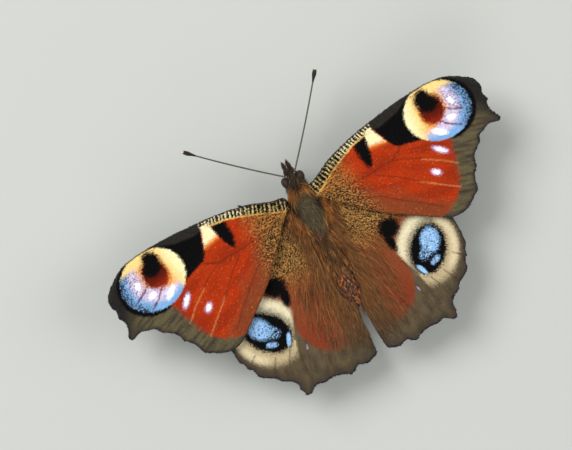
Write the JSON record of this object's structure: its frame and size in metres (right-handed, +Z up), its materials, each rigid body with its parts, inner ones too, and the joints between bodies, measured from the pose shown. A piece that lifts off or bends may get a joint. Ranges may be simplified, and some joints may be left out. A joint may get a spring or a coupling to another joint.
{
  "type": "peacock butterfly",
  "caption": "Life-size peacock butterfly, a still model standing on its four walking legs with all wings spread flat.",
  "frame": {"origin": "middle of the outline seen from above, at the level of the soles of the feet", "axes": "+Z up, head towards -Y, the butterfly's own left side towards +X"},
  "size_m": [0.0608, 0.0408, 0.0089],
  "materials": {
    "body_hair": "soft matt hair over dark skin",
    "wing": "matt powdery scales on a thin sheet",
    "eye": "glossy dark brown facets",
    "feeler": "satin black with fine pale rings",
    "leg": "scaly dark brown"
  },
  "bodies": {
    "root": {"head": "body_hair", "thorax": "body_hair", "abdomen": "body_hair", "palp_left": "body_hair", "palp_right": "body_hair", "eye_left": "eye", "eye_right": "eye", "antenna_left": "feeler", "antenna_right": "feeler", "forewing_left": "wing", "forewing_right": "wing", "hindwing_left": "wing", "hindwing_right": "wing", "foreleg_left": "leg", "foreleg_right": "leg", "midleg_left": "leg", "midleg_right": "leg", "hindleg_left": "leg", "hindleg_right": "leg"}
  },
  "joints": []
}
